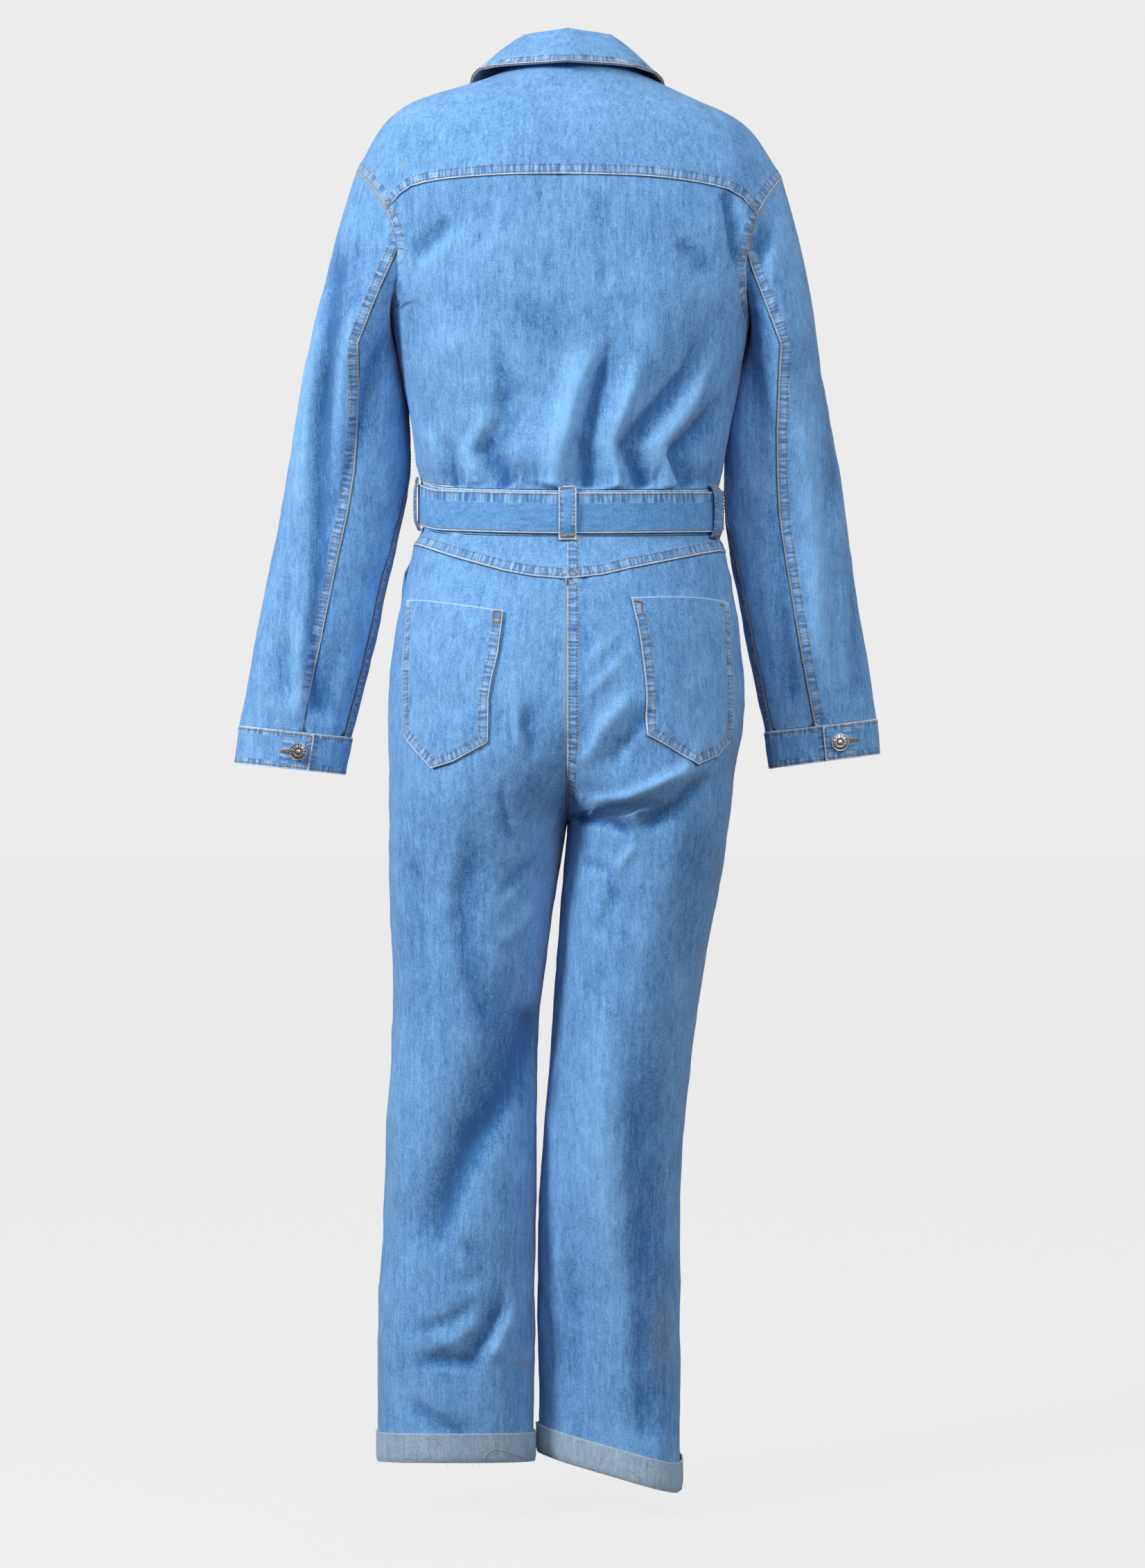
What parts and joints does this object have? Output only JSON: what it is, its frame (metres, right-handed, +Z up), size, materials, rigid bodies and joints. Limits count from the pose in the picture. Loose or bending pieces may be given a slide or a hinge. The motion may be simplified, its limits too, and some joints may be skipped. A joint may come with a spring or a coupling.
{
  "type": "jumpsuit",
  "caption": "Long-sleeved button-front denim jumpsuit with shirt collar, yoke, belt, back pockets and turned-up legs, worn shape, hollow",
  "frame": {"origin": "middle of the neck opening at the height where the back neckline meets the collar, on the wearer's middle line", "axes": "+Z up along the wearer, +X to the wearer's right (the picture's right, as the back is shown), +Y out of the chest; the pictured back looks along -Y"},
  "size_m": [0.6581, 0.2663, 1.4616],
  "materials": {
    "denim": "matt woven cotton, washed mid blue",
    "denim_dark": "matt woven cotton, less washed",
    "denim_wrong_side": "matt woven cotton, pale wrong side",
    "metal": "aged satin metal"
  },
  "bodies": {
    "root": {"back_panel": "denim", "belt": "denim_dark", "belt_loop_back": "denim_dark", "belt_loop_front_left": "denim_dark", "belt_loop_front_right": "denim_dark", "belt_loop_left": "denim_dark", "belt_loop_right": "denim_dark", "belt_slide": "metal", "collar_leaf": "denim", "collar_stand": "denim", "cuff_button_left": "metal", "cuff_button_right": "metal", "cuff_left": "denim", "cuff_right": "denim", "fly_front": "denim", "front_button_1": "metal", "front_button_2": "metal", "front_button_3": "metal", "front_button_4": "metal", "front_button_5": "metal", "front_left": "denim", "front_placket": "denim", "front_right": "denim", "leg_back_left": "denim", "leg_back_right": "denim", "leg_front_left": "denim", "leg_front_right": "denim", "pocket_back_left": "denim", "pocket_back_right": "denim", "riser_left": "denim", "riser_right": "denim", "sleeve_under_left": "denim", "sleeve_under_right": "denim", "sleeve_upper_left": "denim", "sleeve_upper_right": "denim", "turn_up_left": "denim_wrong_side", "turn_up_right": "denim_wrong_side", "waistband": "denim", "yoke_back": "denim"}
  },
  "joints": []
}
